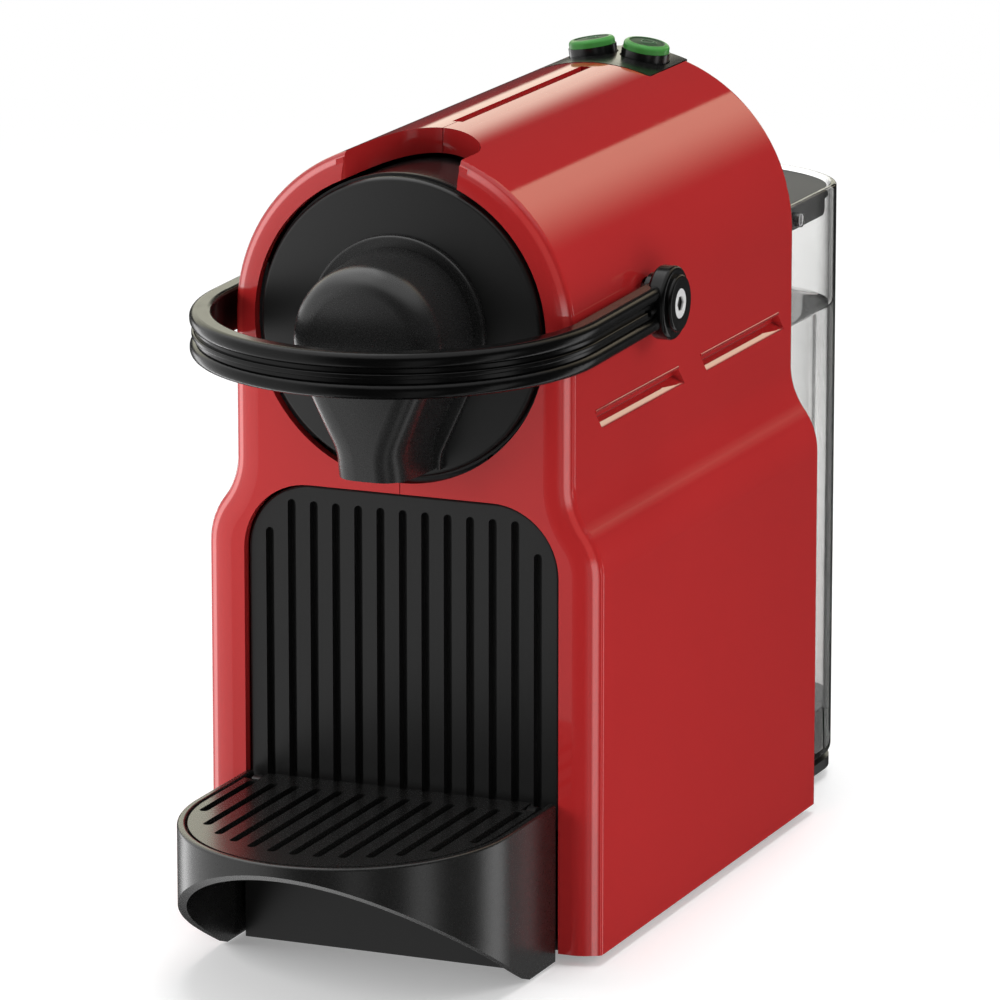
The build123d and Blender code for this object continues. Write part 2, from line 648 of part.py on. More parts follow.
def button_cap(side):
    """Green domed cap of a button."""
    radius = BUTTON_R - 0.3
    rim = radius * 0.78
    profile = make_face([
        Line((0, 0), (radius, 0)),
        Line((radius, 0), (radius, BUTTON_CAP_WALL)),
        ThreePointArc((radius, BUTTON_CAP_WALL), (radius * 0.94, BUTTON_CAP_HEIGHT - 0.35),
                      (rim, BUTTON_CAP_HEIGHT)),
        Line((rim, BUTTON_CAP_HEIGHT), (rim - 0.4, BUTTON_CAP_HEIGHT - 0.3)),
        TangentArc((0, BUTTON_CAP_HEIGHT), (rim - 0.4, BUTTON_CAP_HEIGHT - 0.3), tangent=(1, 0)),
        Line((0, BUTTON_CAP_HEIGHT), (0, 0)),
    ])
    cap = revolve(Plane.XZ * profile, Axis.Z)
    return at_button(side, Pos(0, 0, BUTTON_CAP_BASE) * cap)


# Capsule drawer

def grille_panel():
    """Black front of the drawer with upright grooves between its ribs."""
    back = PANEL_RECESS + PANEL_THICK
    panel = both(along_y(half_arch(0, DRAWER_TOP), PANEL_RECESS, back))
    rim = panel.edges().filter_by_position(Axis.Y, PANEL_RECESS, PANEL_RECESS)
    panel = fillet([edge for edge in rim if edge.center().Z > DRAWER_TOP + 1], PANEL_EDGE)
    middle = RIB_COUNT // 2
    for index in range(RIB_COUNT):
        top = RIB_TOP_OUTER if index in (0, RIB_COUNT - 1) else RIB_TOP
        groove = Rot(0, 0, 90) * SlotOverall(top - RIB_FOOT, RIB_GROOVE)
        place = Pos((index - middle) * RIB_PITCH, (top + RIB_FOOT) / 2)
        panel -= along_y(place * groove, PANEL_RECESS - 1, PANEL_RECESS + RIB_GROOVE_DEPTH)
    return panel


def capsule_bin():
    """Open bin behind the grille that catches the spent capsules."""
    front = PANEL_RECESS + PANEL_THICK
    bin_box = block((-BIN_HALF, BIN_HALF), (front, BIN_BACK), (DRAWER_TOP, BIN_TOP))
    upright = bin_box.edges().filter_by(Axis.Z).filter_by_position(Axis.Y, BIN_BACK, BIN_BACK)
    bin_box = fillet(upright, 6)
    floor = DRAWER_TOP + DRAWER_WALL
    inner = BIN_HALF - DRAWER_WALL
    bin_box -= block((-inner, inner), (front + DRAWER_WALL, BIN_BACK - DRAWER_WALL), (floor, BIN_TOP + 1))
    rest = DRAWER_HALF - 0.4
    bin_box += block((-rest, rest), (front, BIN_BACK), (DRAWER_TOP, floor))
    for drain_y in (25, 45, 65):
        bin_box -= block((-20, 20), (drain_y - 2, drain_y + 2), (DRAWER_TOP - 1, floor + 1))
    return bin_box


def drip_tray():
    """Water-collecting tray with a front foot and the lugs that carry the cup tray."""
    half = DRAWER_HALF
    tray = block((-half, half), (DRAWER_FRONT, DRAWER_BACK), (DRAWER_FLOOR, DRAWER_TOP))
    inner = half - DRAWER_WALL
    hollow_y = (DRAWER_FRONT + DRAWER_WALL, DRAWER_BACK - DRAWER_WALL)
    tray -= block((-inner, inner), hollow_y, (DRAWER_FLOOR + DRAWER_WALL, DRAWER_TOP + 1))
    tray += block((-half, half), (DRAWER_FRONT, TRAY_BACK), (0.5, DRAWER_FLOOR + 1))
    lug = Pos(HINGE_Y, HINGE_Z) * Circle(LUG_R)
    lug += Pos(HINGE_Y, (HINGE_Z + DRAWER_TOP - 2) / 2) * Rectangle(2 * LUG_R, HINGE_Z - DRAWER_TOP + 2)
    lug -= Pos(HINGE_Y, HINGE_Z) * Circle(HINGE_PIN_R + SHAFT_RUNNING)
    return tray + both(along_x(lug, *LUG_X))


# Cup tray

def tray_plan(inset, back):
    """Plan of the cup tray: straight sides and a half-elliptical front."""
    half = TRAY_HALF - inset
    reach = TRAY_REACH + TRAY_BEND_Y - inset
    return make_face([
        EllipticalCenterArc((0, TRAY_BEND_Y), half, reach, 180, arc_size=180),
        Line((half, TRAY_BEND_Y), (half, back)),
        Line((half, back), (-half, back)),
        Line((-half, back), (-half, TRAY_BEND_Y)),
    ])


def lug_relief():
    """Room round the hinge lugs of the drawer."""
    low = LUG_X[0] - 0.6
    return both(block((low, TRAY_HALF), (HINGE_Y - LUG_R - 1, 1), (PAN_Z[0] - 1, TRAY_TOP + 1)))


def cup_tray():
    """Rim and apron whose lower edge sweeps up to the front, with a shallow pan inside."""
    apron = along_z(tray_plan(0, TRAY_BACK) - tray_plan(TRAY_WALL, 2), TRAY_TIP_Z, TRAY_TOP)
    front = -TRAY_REACH - 1
    sweep = make_face([
        ThreePointArc((front, APRON_FRONT_Z), APRON_MIDDLE, (APRON_TIP_Y, TRAY_TIP_Z)),
        Line((APRON_TIP_Y, TRAY_TIP_Z), (APRON_TIP_Y, 0)),
        Line((APRON_TIP_Y, 0), (front, 0)),
        Line((front, 0), (front, APRON_FRONT_Z)),
    ])
    apron -= along_x(sweep, -TRAY_HALF - 1, TRAY_HALF + 1)
    rim = apron.edges().filter_by_position(Axis.Z, TRAY_TOP, TRAY_TOP)
    apron = fillet([edge for edge in rim if edge.center().Y < TRAY_BACK - 1], RIM_ROUND)
    pan_back = HINGE_Y - LUG_R - 1
    pan = along_z(tray_plan(TRAY_WALL - 0.5, pan_back), *PAN_Z)
    ledge = tray_plan(TRAY_WALL - 0.5, pan_back) - tray_plan(TRAY_WALL + LEDGE, 2)
    return apron + pan + along_z(ledge, PAN_Z[1] - 0.5, GRID_Z[0])


def tray_hinge_pin():
    """Pin from the apron's side wall into the drawer's lug."""
    return rod_x(HINGE_PIN_R, HINGE_Y, HINGE_Z, LUG_X[0], TRAY_HALF - TRAY_WALL)


def drip_grid():
    """Slotted plate that the cup stands on, level with the tray's rim."""
    inset = TRAY_WALL + GRID_GAP
    grid = along_z(tray_plan(inset, TRAY_BACK - GRID_GAP), *GRID_Z)
    grid -= lug_relief()
    half = TRAY_HALF - inset
    reach = TRAY_REACH + TRAY_BEND_Y - inset
    middle = RIB_COUNT // 2
    for index in range(RIB_COUNT):
        slot_x = (index - middle) * RIB_PITCH
        rim_y = TRAY_BEND_Y - reach * sqrt(1 - (slot_x / half) ** 2)
        back = HINGE_Y - 2 * LUG_R
        length = back - rim_y - GRID_MARGIN
        slot = Rot(0, 0, 90) * SlotOverall(length, GRID_SLOT)
        grid -= along_z(Pos(slot_x, back - length / 2) * slot, GRID_Z[0] - 1, GRID_Z[1] + 1)
    return grid


# Water tank

def tank_plan(inset, front):
    """Plan of the tank: flat front, straight sides and a bulging back."""
    half = TANK_HALF - inset
    bulge = TANK_BACK - TANK_BEND_Y - inset
    return make_face([
        EllipticalCenterArc((0, TANK_BEND_Y), half, bulge, 0, arc_size=180),
        Line((-half, TANK_BEND_Y), (-half, front)),
        Line((-half, front), (half, front)),
        Line((half, front), (half, TANK_BEND_Y)),
    ])


def water_tank():
    """Clear tank with a raised step over the inlet."""
    step_x = (INLET_X - 14, INLET_X + 14)
    step_y = (TANK_FRONT - 1, INLET_Y + 14)
    tank = along_z(tank_plan(0, TANK_FRONT), TANK_BOTTOM, TANK_TOP)
    tank = fillet(tank.edges().filter_by_position(Axis.Z, TANK_BOTTOM, TANK_BOTTOM), TANK_FOOT_ROUND)
    tank -= along_z(tank_plan(TANK_WALL, TANK_FRONT + TANK_WALL), TANK_BOTTOM + TANK_WALL, TANK_TOP + 1)
    tank = fillet(tank.edges().filter_by_position(Axis.Z, TANK_TOP, TANK_TOP), TANK_RIM_ROUND)
    cover_x = (step_x[0] - TANK_WALL, step_x[1] + TANK_WALL)
    cover_y = (TANK_FRONT + 1, step_y[1] + TANK_WALL)
    tank += block(cover_x, cover_y, (TANK_BOTTOM + 1, STEP_TOP + TANK_WALL))
    tank -= block(step_x, step_y, (TANK_BOTTOM - 1, STEP_TOP))
    tank -= rod_z(SPIGOT_R + 1.0, INLET_X, INLET_Y, STEP_TOP - 1, STEP_TOP + TANK_WALL + 1)
    pin_hole = rod_x(LID_PIN_R + SHAFT_RUNNING, LID_PIVOT_Y, LID_PIVOT_Z, TANK_HALF - 4, TANK_HALF + 1)
    return tank - both(pin_hole)


def tank_valve():
    """Valve cup over the tank's outlet, which the inlet spigot opens."""
    seat = STEP_TOP + TANK_WALL
    valve = rod_z(SPIGOT_R + 4, INLET_X, INLET_Y, seat, seat + 14)
    return valve - rod_z(SPIGOT_R + 1.0, INLET_X, INLET_Y, seat - 1, seat + 10)


def tank_lid():
    """Hinged lid that drops inside the rim, with a cheek on each side."""
    inset = TANK_WALL + 0.8
    lid = along_z(tank_plan(inset, LID_FRONT), *LID_Z)
    cheek_x = (TANK_HALF - inset - 2.2, TANK_HALF - inset)
    cheek = block(cheek_x, (LID_FRONT, TANK_BEND_Y), (LID_CHEEK_Z, LID_Z[0] + 1))
    lower_corner = cheek.edges().filter_by(Axis.X).filter_by_position(Axis.Z, LID_CHEEK_Z, LID_CHEEK_Z)
    return lid + both(fillet(lower_corner, 2.0))


def lid_hinge_pin():
    """Pin from a lid cheek into the tank's side wall."""
    inset = TANK_WALL + 0.8
    return rod_x(LID_PIN_R, LID_PIVOT_Y, LID_PIVOT_Z, TANK_HALF - inset, TANK_HALF - 0.4)


# Base, rear panel and inner works

def base_plate():
    """Floor of the machine with drawer rails, carried on behind the body under the tank."""
    half = FOOT_HALF - WALL - GAP
    plate = block((-half, half), (FRONT_WALL + 0.2, REAR_PANEL_Y[1]), (BODY_BOTTOM, BASE_TOP))
    plate += along_z(tank_plan(0.5, REAR_PANEL_Y[0]), BODY_BOTTOM, BASE_TOP)
    rail = block((DRAWER_HALF + 1, DRAWER_HALF + 3), (8, DRAWER_BACK), (BASE_TOP - 1, BASE_TOP + 8))
    return plate + both(rail)


def foot_pads():
    """Rubber feet under the body and the tank."""
    pads = [rod_z(FOOT_R, side * x, y, 0, BODY_BOTTOM) for x, y in FOOT_PLACES for side in (-1, 1)]
    return Compound(pads)


def base_screws():
    """Screw heads under the base plate."""
    places = [(side * 50, y) for y in (45, 120) for side in (-1, 1)]
    return Compound([rod_z(3.2, x, y, BODY_BOTTOM - 1.6, BODY_BOTTOM) for x, y in places])


def rear_panel():
    """Black plate that closes the back of the shells, with ways for the inlet and the gland."""
    outline = half_outline(WALL + GAP, BASE_TOP, 0)
    panel = both(along_y(outline, *REAR_PANEL_Y))
    passage = (INLET_X - 9.2, INLET_X + 9.2)
    panel -= block(passage, (REAR_PANEL_Y[0] - 1, REAR_PANEL_Y[1] + 1), (0, INLET_TOP + 0.2))
    return panel - rod_y(GLAND_R, GLAND_X, GLAND_Z, REAR_PANEL_Y[0] - 1, REAR_PANEL_Y[1] + 1)


def cord_gland():
    """Round cable gland in the rear panel."""
    gland = rod_y(GLAND_R, GLAND_X, GLAND_Z, REAR_PANEL_Y[0] - 4, REAR_PANEL_Y[1])
    gland += rod_y(GLAND_R + 0.8, GLAND_X, GLAND_Z, REAR_PANEL_Y[1], REAR_PANEL_Y[1] + 1.2)
    return gland - rod_y(GLAND_R - 1.2, GLAND_X, GLAND_Z, REAR_PANEL_Y[0] - 5, REAR_PANEL_Y[1] + 2)


def tank_inlet():
    """Water way from the tank seat into the body, with the spigot that enters the tank."""
    way = block((INLET_X - 9, INLET_X + 9), (158, INLET_Y + 9), (BASE_TOP, INLET_TOP))
    way += rod_z(SPIGOT_R, INLET_X, INLET_Y, INLET_TOP - 1, SPIGOT_TOP)
    return way - rod_z(2.2, INLET_X, INLET_Y, BASE_TOP + 1.5, SPIGOT_TOP + 1)


def inlet_seal():
    """Rubber ring at the foot of the spigot."""
    ring = Circle(SPIGOT_R + 2.6) - Circle(SPIGOT_R)
    return along_z(Pos(INLET_X, INLET_Y) * ring, INLET_TOP, INLET_TOP + 3)


def pump():
    """Vibration pump: square coil with a nose at each end."""
    half = PUMP_HALF
    coil_y = (PUMP_Y - 18, PUMP_Y + 18)
    coil = block((-half, half), coil_y, (PUMP_Z - half, PUMP_Z + half))
    coil = fillet(coil.edges().filter_by(Axis.Y), 4)
    return coil + rod_y(PUMP_NOSE_R, 0, PUMP_Z, PUMP_Y - 30, PUMP_Y + 30)


def pump_mounts():
    """Two rubber blocks that carry the pump's noses."""
    blocks = []
    for start in (PUMP_Y - 28, PUMP_Y + 22):
        mount = block((-15, 15), (start, start + 6), (BASE_TOP, PUMP_Z + 15))
        blocks.append(mount - rod_y(PUMP_NOSE_R, 0, PUMP_Z, start - 1, start + 7))
    return Compound(blocks)


def thermoblock():
    """Flow heater behind the brew frame."""
    heater = rod_y(THERMO_R, 0, THERMO_Z, FRAME_BACK, THERMO_BACK)
    for rib_y in range(124, 150, 8):
        heater += rod_y(THERMO_R + 2, 0, THERMO_Z, rib_y, rib_y + 3)
    return heater


def delivery_tube():
    """Steel tube from the heater into the sliding cage's sleeve."""
    start = CAGE_BACK + CAGE_PLATE + 2 * CRANK_R * sin(radians(CRANK_SWING)) + 0.8
    tube = rod_y(DELIVERY_R, 0, HEAD_Z, start, FRAME_BACK)
    return tube - rod_y(1.6, 0, HEAD_Z, start - 1, FRAME_BACK + 1)


def flow_meter():
    """Turbine flow meter on the base plate."""
    meter = rod_z(METER_R, INLET_X + 6, PUMP_Y, BASE_TOP, METER_TOP)
    return meter + block((INLET_X + 3, INLET_X + 9), (PUMP_Y, PUMP_Y + 14), (BASE_TOP, INLET_TOP + 2))


def water_tubes():
    """Hoses from the inlet to the flow meter, on to the pump and up to the heater."""
    meter_x = INLET_X + 6
    supply = rod_y(TUBE_R, meter_x, BASE_TOP + TUBE_R + 0.2, PUMP_Y + 14, 158)
    bend = FilletPolyline((meter_x, PUMP_Y, METER_TOP), (meter_x, PUMP_Y, PUMP_Z),
                          (PUMP_HALF, PUMP_Y, PUMP_Z), radius=9)
    feed = sweep(Plane(bend @ 0, z_dir=bend % 0) * Circle(TUBE_R), path=bend)
    riser = rod_z(TUBE_R, 0, PUMP_Y + 4, PUMP_Z + PUMP_HALF, THERMO_Z - THERMO_R - 4)
    elbow = rod_z(TUBE_R + 2, 0, PUMP_Y + 4, THERMO_Z - THERMO_R - 4, THERMO_Z - THERMO_R - 2)
    return Compound([supply, feed, riser + elbow])


def control_board():
    """Power board on standoffs from the left shell."""
    board = block((-51.6, -50), (100, 158), (30, 100))
    board += block((-50, -38), (110, 128), (40, 60))
    board += block((-50, -42), (136, 150), (70, 92))
    for y in (105, 153):
        for z in (35, 95):
            board += rod_x(2.5, y, z, -(FOOT_HALF - WALL), -51)
    return board


NODES = {
    "base_plate": base_plate,
    "foot_pads": foot_pads,
    "base_screws": base_screws,
    "rear_panel": rear_panel,
    "cord_gland": cord_gland,
    "front_disc": front_disc,
    "outlet_head": outlet_head,
    "brew_frame": brew_frame,
    "extraction_plate": extraction_plate,
    "capsule_cage": capsule_cage,
    "slot_shield": slot_shield,
    "piercing_needles": piercing_needles,
    "lever_loop": lever_loop,
    "button_panel": button_panel,
    "button_board": button_board,
    "grille_panel": grille_panel,
    "capsule_bin": capsule_bin,
    "drip_tray": drip_tray,
    "cup_tray": cup_tray,
    "drip_grid": drip_grid,
    "water_tank": water_tank,
    "tank_valve": tank_valve,
    "tank_lid": tank_lid,
    "tank_inlet": tank_inlet,
    "inlet_seal": inlet_seal,
    "pump": pump,
    "pump_mounts": pump_mounts,
    "thermoblock": thermoblock,
    "delivery_tube": delivery_tube,
    "flow_meter": flow_meter,
    "water_tubes": water_tubes,
    "control_board": control_board,
}
PAIRED_NODES = {
    "lever_caps": lever_cap,
    "lever_screws": lever_screw,
    "crank_shafts": crank_shaft,
    "shaft_bushes": shaft_bush,
    "tray_hinge_pins": tray_hinge_pin,
    "lid_hinge_pins": lid_hinge_pin,
}
BUTTON_SIDES = {"espresso": -1, "lungo": 1}

os.makedirs("parts", exist_ok=True)
right_shell = right_half_shell()
export("right_shell", right_shell)
export("left_shell", mirrored(right_shell))
for node, make in NODES.items():
    export(node, make())
for node, make in PAIRED_NODES.items():
    export(node, pair(make()))
for drink, side in BUTTON_SIDES.items():
    export(f"{drink}_button_body", button_body(side))
    export(f"{drink}_button_cap", button_cap(side))
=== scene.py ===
import json
import math

import bmesh
import bpy
import numpy as np
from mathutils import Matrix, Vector


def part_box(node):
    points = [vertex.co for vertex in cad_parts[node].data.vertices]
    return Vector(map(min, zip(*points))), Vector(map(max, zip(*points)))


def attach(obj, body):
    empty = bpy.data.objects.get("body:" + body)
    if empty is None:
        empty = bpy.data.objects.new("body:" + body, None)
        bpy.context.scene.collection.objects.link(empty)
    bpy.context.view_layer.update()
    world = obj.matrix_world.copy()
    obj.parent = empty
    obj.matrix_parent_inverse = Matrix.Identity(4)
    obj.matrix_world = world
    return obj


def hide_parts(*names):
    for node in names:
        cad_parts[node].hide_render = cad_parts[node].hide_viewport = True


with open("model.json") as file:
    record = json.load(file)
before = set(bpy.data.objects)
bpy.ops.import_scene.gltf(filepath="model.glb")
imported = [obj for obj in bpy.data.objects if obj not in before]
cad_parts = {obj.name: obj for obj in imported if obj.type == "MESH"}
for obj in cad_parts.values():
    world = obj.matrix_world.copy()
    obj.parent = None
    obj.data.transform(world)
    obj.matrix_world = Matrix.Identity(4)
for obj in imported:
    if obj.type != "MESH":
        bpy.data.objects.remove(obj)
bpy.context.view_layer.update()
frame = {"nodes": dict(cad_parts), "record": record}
NODES = frame["nodes"]
MM = 0.001
WHITE = (1.0, 1.0, 1.0)

# Camera of the photograph: its place on a sphere round its aim point, its lens and sensor in millimetres
CAMERA_AZIMUTH = math.radians(22.94)
CAMERA_ELEVATION = math.radians(13.62)
CAMERA_DISTANCE = 2.0904
CAMERA_AIM = (-0.0108, 0.0196, 0.0987)
CAMERA_LENS = 263.97
CAMERA_SENSOR = 36.0
CAMERA_SHIFT = (-0.0002, 0.0187)
CAMERA_CLIP = 20.0

# Floor: its half side, paint and glow, and the radii between which it turns into the white background
FLOOR_HALF = 9.0
FLOOR_PAINT = 0.85
FLOOR_GLOW = 0.24
FLOOR_POOL = (0.35, 1.2)

# Soft boxes: place, side and power
LAMP_AIM = (0.0, 0.0, 0.11)
LAMPS = {
    "key": ((-0.27, -0.33, 0.18), 0.2, 1.05),
    "side": ((1.7, 0.5, 1.0), 1.0, 14.5),
    "low_side": ((0.26, -0.06, 0.03), 0.12, 0.09),
    "corner": ((0.4, -0.5, 0.1), 0.3, 0.8),
    "top": ((0.1, 0.2, 2.0), 1.2, 24.0),
    "back": ((-0.3, 1.9, 0.5), 1.0, 16.0),
}

# World: its glow on matt surfaces, the share of white lost where light bounced before it went through the
# tank, and the least that gloss sees
AMBIENT = 0.26
BOUNCE_LOSS = 0.5
BOUNCE_STEP = (0.2, 0.8)
GLOSS_FLOOR = 0.05

# Cards behind the machine: where they start along Y, then each one's colour and the angles of roll about Y,
# in radians, over which it fades in and out
BEHIND = (0.45, 0.55)
REAR_CARDS = (
    ((1.4, 1.2, 0.87), (0.45, 1.15), (1.31, 1.36)),
    ((1.58, 1.55, 1.26), (2.05, 2.45), (2.9, 3.0)),
)

# Cards ahead of the machine, by the angle about Z from the left: the wide one's fades in and out, its gain
# in strength and where that comes, and the narrow tube's middle, reach and strength
LEFT_CARD = ((-1.5, -0.85), (1.05, 1.3))
LEFT_GAIN = 0.4
LEFT_GAIN_STEP = (-0.3, 0.6)
TUBE = (0.57, 0.16, 2.5)

# Pillars, by the angle about Z from the right: middle, reach and strength. They and the tube fade out
# upwards between two heights
PILLARS = ((-0.97, 0.25, 0.5), (-0.16, 0.24, 1.2), (0.85, 0.28, 1.5))
PILLAR_TOP = (-0.08, 0.08)

# Card overhead: the heights between which it fades in, and its strength
OVERHEAD = (0.45, 0.85)
OVERHEAD_STRENGTH = 1.3

# Boxes on either side, as low corner, high corner and blur: the lips of the flank's grooves, the beads
# above them and the line along the front's edge. All three have a coat; the line is a painted highlight in
# brighter red
GROOVE_LIPS = ((47.0 * MM, -59 * MM, 145.3 * MM), (49.93 * MM, 88 * MM, 148.6 * MM), 0.1 * MM)
GROOVE_BEADS = ((50.0 * MM, -59 * MM, 150.9 * MM), (52.0 * MM, 88 * MM, 153.0 * MM), 0.1 * MM)
FRONT_EDGE = ((0.0, -74.5 * MM, 0.0), (65 * MM, -73.4 * MM, 240 * MM), 0.35 * MM)
# Brighter red painted along the front's edge: a painted highlight
PAINTED_EDGE_HIGHLIGHT = (0.6, 0.035, 0.033)
COAT_IOR = 2.5

# Noise of the finishes in cells per metre, its relief in metres, and how brush lines are drawn out along Y
DRIFT_CELLS = 24.0
SMEAR_CELLS = 160.0
PEEL_CELLS = 420.0
PEEL_RELIEF = 1.5e-6
CLOUD_CELLS = 45.0
PIT_CELLS = 2600.0
PIT_RELIEF = 9e-6
BRUSH_RELIEF = 1e-5
FLOW_CELLS = 60.0
FLOW_RELIEF = 2e-5
SWELL_CELLS = 30.0
SWELL_RELIEF = 1e-5
RIM_CELLS = 300.0
CAP_CELLS = 2200.0
CAP_RELIEF = 4e-6
LID_CELLS = 2400.0
LID_RELIEF = 8e-6
BRUSH_DRAW = (1.0, 0.04, 1.0)

# Spread of the roughness over a surface
SMEAR_STEP = (0.45, 0.8)
SMEAR_SPREAD = 0.05
GRAIN_SPREAD = 0.12
LID_SPREAD = 0.1
CAP_SPREAD = 0.08
FLOW_SPREAD = 0.03
SWELL_SPREAD = 0.01

# Water tank: where its sides start to bend, its wall, and how far the step inside reaches from the valve's
# axis. Its plastic has painted shade, grey where it turns away and over the bend's outermost millimetres
# above the water
TANK_BEND_Y = 129 * MM
TANK_WALL = 2.2 * MM
STEP_INSIDE = 16.2 * MM
TANK_IOR = 1.06
TANK_COAT = 0.5
# Grey of the shade painted on the tank's clear plastic
PAINTED_TANK_SHADE = (0.18, 0.18, 0.18)
TANK_MURK = 190.0
MURK_GREY = (0.6, 0.6, 0.59)
SLANT_SHADE = (0.62, 0.88)
BEND_SHADE = (119 * MM, 133 * MM)
SIDE_SHADE = (3 * MM, 4 * MM)

# Water: its level, how deep it sinks into the walls, and its rise at them. Then come the rows and columns
# of its grid: distances from a wall, shares of half the width left and right of the step, and counts
WATER_LEVEL = 143 * MM
WATER_SHORE = (WATER_LEVEL, WATER_LEVEL + 2 * MM)
WATER_SINK = 0.3 * MM
WATER_IOR = 1.33
WATER_MURK = 1.5
MENISCUS_RISE = 0.9 * MM
MENISCUS_REACH = 1.4 * MM
MENISCUS_ROWS = np.linspace(0.0, 6 * MENISCUS_REACH, 9)
LEFT_COLUMNS = np.linspace(-0.7, 0.1, 9)
RIGHT_COLUMNS = np.linspace(0.4, 0.7, 4)
STRAIGHT_ROWS = 5
BEND_ROWS = 40

# Tank lid: the heights between which its sides, painted nearly black as shade, turn into its face
LID_FACE = (178.5 * MM, 178.8 * MM)
LID_ROUGHNESS = 0.55
LID_SPECULAR = 0.1

# Lever screws: how far below its face a socket is painted dark as shade
SOCKET_DEPTH = (0.3 * MM, 0.6 * MM)
SCREW_METAL = 0.6

# Front disc: its crown, the round of its edge, the flange, which is a dark sheet behind the gap standing in
# for the gap's shade, and the steps of its profile and of its turn
DISC_CROWN = 1.8 * MM
DISC_EDGE = 1.2 * MM
FLANGE_HEIGHT = 0.7 * MM
FLANGE_THICKNESS = 1.5 * MM
CROWN_STEPS = 24
EDGE_STEPS = 9
DISC_STEPS = 145

# Buttons: the head's axis, each button's lean from upright, and the caps' crowns along that lean
HEAD_AXIS = (0.0, 82 * MM, 174 * MM)
BUTTON_LEAN = math.radians(9.2)
CAP_CROWN = 54.5 * MM
CAP_FALL = 0.3 * MM
CAP_TOP_R = 5.1 * MM
CAP_RIM_R = 1.06 * CAP_TOP_R
CAP_TOP_ROUGHNESS = 0.5
CAP_RIM_ROUGHNESS = 0.3
CAP_SPECULAR = 0.25

# Cup signs on the buttons: half widths and half heights, the bead's radius, the powers that shape the bowl,
# and the handle's place and size as shares of the bowl
ESPRESSO_CUP = (1.3 * MM, 1.1 * MM)
LUNGO_CUP = (1.6 * MM, 1.7 * MM)
SIGN_BEAD = 0.17 * MM
SIGN_STEPS = 48
BEAD_STEPS = 9
BOWL_SIDE_POWER = 0.6
BOWL_TOP_POWER = 0.25
BOWL_FOOT_POWER = 0.8
HANDLE_PLACE = (1.3, 0.35)
HANDLE_SIZE = (0.35, 0.4)

# Meshes: distance under which points are one, and the angle past which an edge stays sharp
MERGE_DISTANCE = 1e-7
SHARP_ANGLE = math.radians(40)


class Wire:
    """A shader socket: arithmetic on it adds Math nodes, and add() makes any other node of its tree."""

    def __init__(self, tree, socket=None):
        self.tree = tree
        self.socket = socket

    def add(self, kind, settings=None, sockets=None, out=0):
        """New node of a type, with its settings made first and then its sockets' values or links."""
        node = self.tree.nodes.new("ShaderNode" + kind)
        for name, value in (settings or {}).items():
            setattr(node, name, value)
        for name, value in (sockets or {}).items():
            if isinstance(value, Wire):
                self.tree.links.new(value.socket, node.inputs[name])
            else:
                node.inputs[name].default_value = value
        return Wire(self.tree, node.outputs[out] if node.outputs else None)

    def maths(self, operation, *terms):
        """Math node of an operation on some terms."""
        return self.add("Math", {"operation": operation}, dict(enumerate(terms)))

    def __add__(self, other):
        return self.maths("ADD", self, other)

    def __sub__(self, other):
        return self.maths("SUBTRACT", self, other)

    def __rsub__(self, other):
        return self.maths("SUBTRACT", other, self)

    def __mul__(self, other):
        return self.maths("MULTIPLY", self, other)

    def __abs__(self):
        return self.maths("ABSOLUTE", self)

    __radd__ = __add__
    __rmul__ = __mul__

    def axis(self, name):
        """X, Y or Z of a vector."""
        return self.add("SeparateXYZ", sockets={"Vector": self}, out=name)

    def rise(self, low, high):
        """0 below low, 1 above high and a smooth step between."""
        limits = {"Value": self, "From Min": low, "From Max": high}
        return self.add("MapRange", {"interpolation_type": "SMOOTHSTEP"}, limits)

    def span(self, fade_in, fade_out):
        """1 between two fades, each given by where it starts and ends, and 0 outside them."""
        return self.rise(*fade_in) * (1 - self.rise(*fade_out))

    def near(self, middle, reach):
        """1 over the inner quarter of a reach round a middle value, falling smoothly to 0 at the reach."""
        return 1 - abs(self - middle).rise(0.25 * reach, reach)


# Finishes

def finish_of(name, look, filling=None):
    """New material: look(wire) gives the sockets of its Principled shader and filling(wire) its inside."""
    material = bpy.data.materials.new(name)
    material.use_nodes = True
    tree = material.node_tree
    tree.nodes.clear()
    wire = Wire(tree)
    ends = {"Surface": wire.add("BsdfPrincipled", sockets=look(wire))}
    if filling:
        ends["Volume"] = filling(wire)
    wire.add("OutputMaterial", sockets=ends)
    return material


def grey(value):
    """Colour with the same red, green and blue."""
    return (value, value, value)


def place(wire):
    """The surface point in the part's own frame."""
    return wire.add("TexCoord", out="Object")


def grain(wire, cells, detail=2.0):
    """Noise from 0 to 1 at so many cells per metre."""
    return wire.add("TexNoise", sockets={"Vector": place(wire), "Scale": cells, "Detail": detail})


def uneven(value, mean, spread):
    """A mean that a value from 0 to 1 moves up and down over a spread."""
    return mean + (value - 0.5) * spread


def tint(wire, amount, low, high):
    """Colour between two by a value from 0 to 1; each end is a colour or the wire of one."""
    ends = [end if isinstance(end, Wire) else (*end, 1.0) for end in (low, high)]
    return wire.add("Mix", {"data_type": "RGBA"}, {0: amount, 6: ends[0], 7: ends[1]}, out=2)


def bumped(wire, height, relief):
    """Normal bent by a height field that is so many metres tall."""
    return wire.add("Bump", sockets={"Height": height, "Distance": relief})


def within(wire, low, high, blur):
    """1 inside a box and inside its mirror image on the other side, with a narrow blur, and 0 outside."""
    point = place(wire)
    sides = (abs(point.axis("X")), point.axis("Y"), point.axis("Z"))
    return math.prod(side.span((start, start + blur), (end - blur, end))
                     for side, start, end in zip(sides, low, high))


def polished(dark, light, gloss, specular=0.5):
    """Polished moulding: a slow drift in the colour, faint wiping smears and a shallow peel."""
    def look(wire):
        drift = grain(wire, DRIFT_CELLS)
        smear = grain(wire, SMEAR_CELLS, 4.0)
        peel = grain(wire, PEEL_CELLS, 1.0)
        return {
            "Base Color": tint(wire, drift, dark, light),
            "Roughness": gloss + smear.rise(*SMEAR_STEP) * SMEAR_SPREAD,
            "Specular IOR Level": specular,
            "Normal": bumped(wire, peel, PEEL_RELIEF),
        }
    return look


